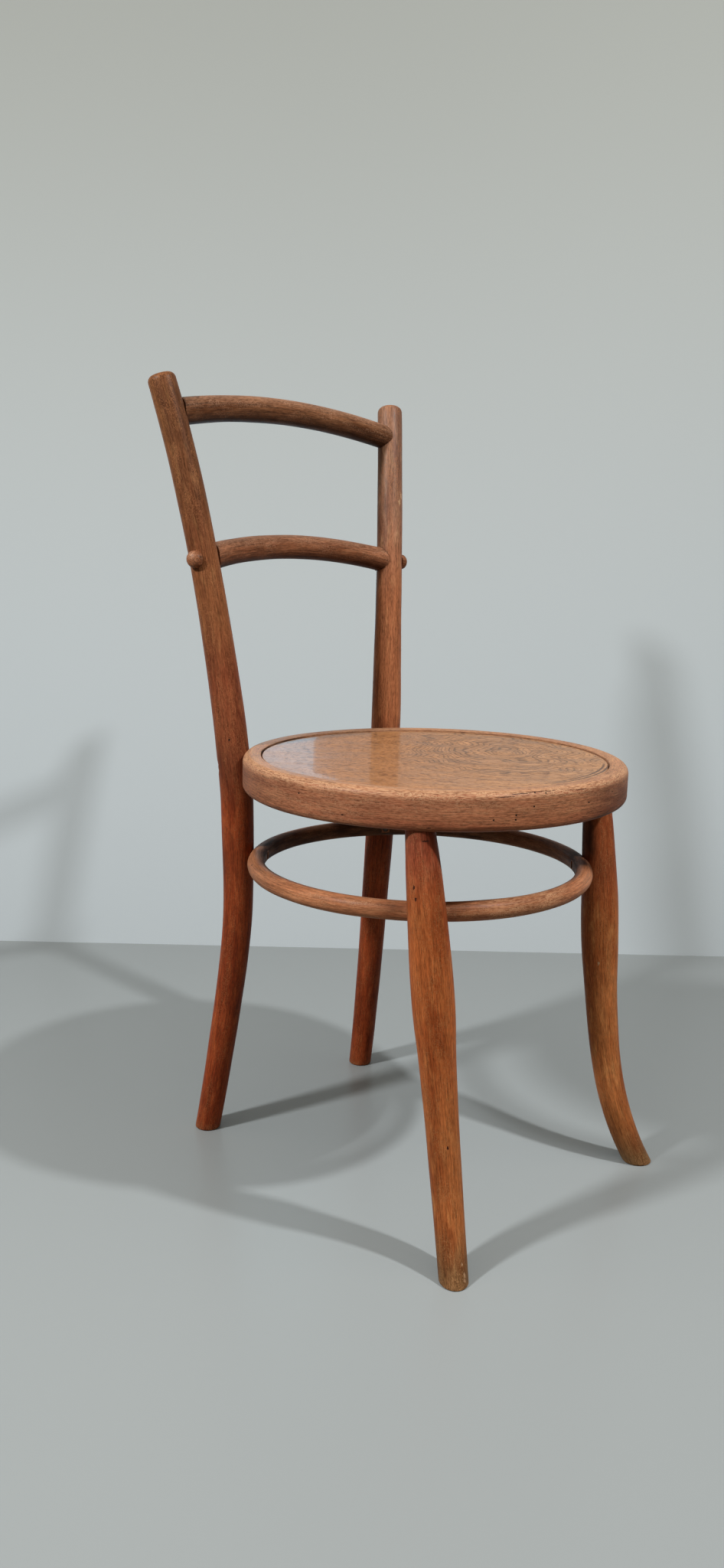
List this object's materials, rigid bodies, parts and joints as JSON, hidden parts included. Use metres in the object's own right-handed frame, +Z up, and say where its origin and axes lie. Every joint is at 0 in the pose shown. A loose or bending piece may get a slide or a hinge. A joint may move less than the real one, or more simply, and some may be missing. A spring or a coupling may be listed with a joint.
{
  "type": "bentwood bistro chair",
  "caption": "Bentwood side chair: round framed seat with a pressed plywood panel, splayed bent legs tied by a hoop, and arched rails between the curved back posts.",
  "frame": {"origin": "on the floor, under the middle of the chair's bounding box", "axes": "+Z up; the sitter faces -Y, with the left hand towards +X"},
  "size_m": [0.404, 0.4554, 0.8449],
  "materials": {
    "bent_beech": "steam-bent beech, stained red-brown, old shellac with a satin gloss",
    "ring_beech": "bent beech seat ring, stained orange-brown, worn satin shellac",
    "seat_plywood": "plywood with a flowery beech face veneer, golden tan, glossy",
    "dark_iron": "old iron screws, bolts and nuts, browned"
  },
  "bodies": {
    "root": {"back_leg_left": "bent_beech", "back_leg_right": "bent_beech", "front_leg_left": "bent_beech", "front_leg_right": "bent_beech", "leg_hoop": "bent_beech", "top_rail": "bent_beech", "middle_rail": "bent_beech", "rail_button_left": "bent_beech", "rail_button_right": "bent_beech", "seat_ring": "ring_beech", "seat_panel": "seat_plywood", "rail_screw_left": "dark_iron", "rail_screw_right": "dark_iron", "seat_bolt_left": "dark_iron", "seat_bolt_right": "dark_iron", "seat_washer_left": "dark_iron", "seat_washer_right": "dark_iron", "seat_nut_left": "dark_iron", "seat_nut_right": "dark_iron", "hoop_screw_back_left": "dark_iron", "hoop_screw_back_right": "dark_iron", "hoop_screw_front_left": "dark_iron", "hoop_screw_front_right": "dark_iron"}
  },
  "joints": []
}
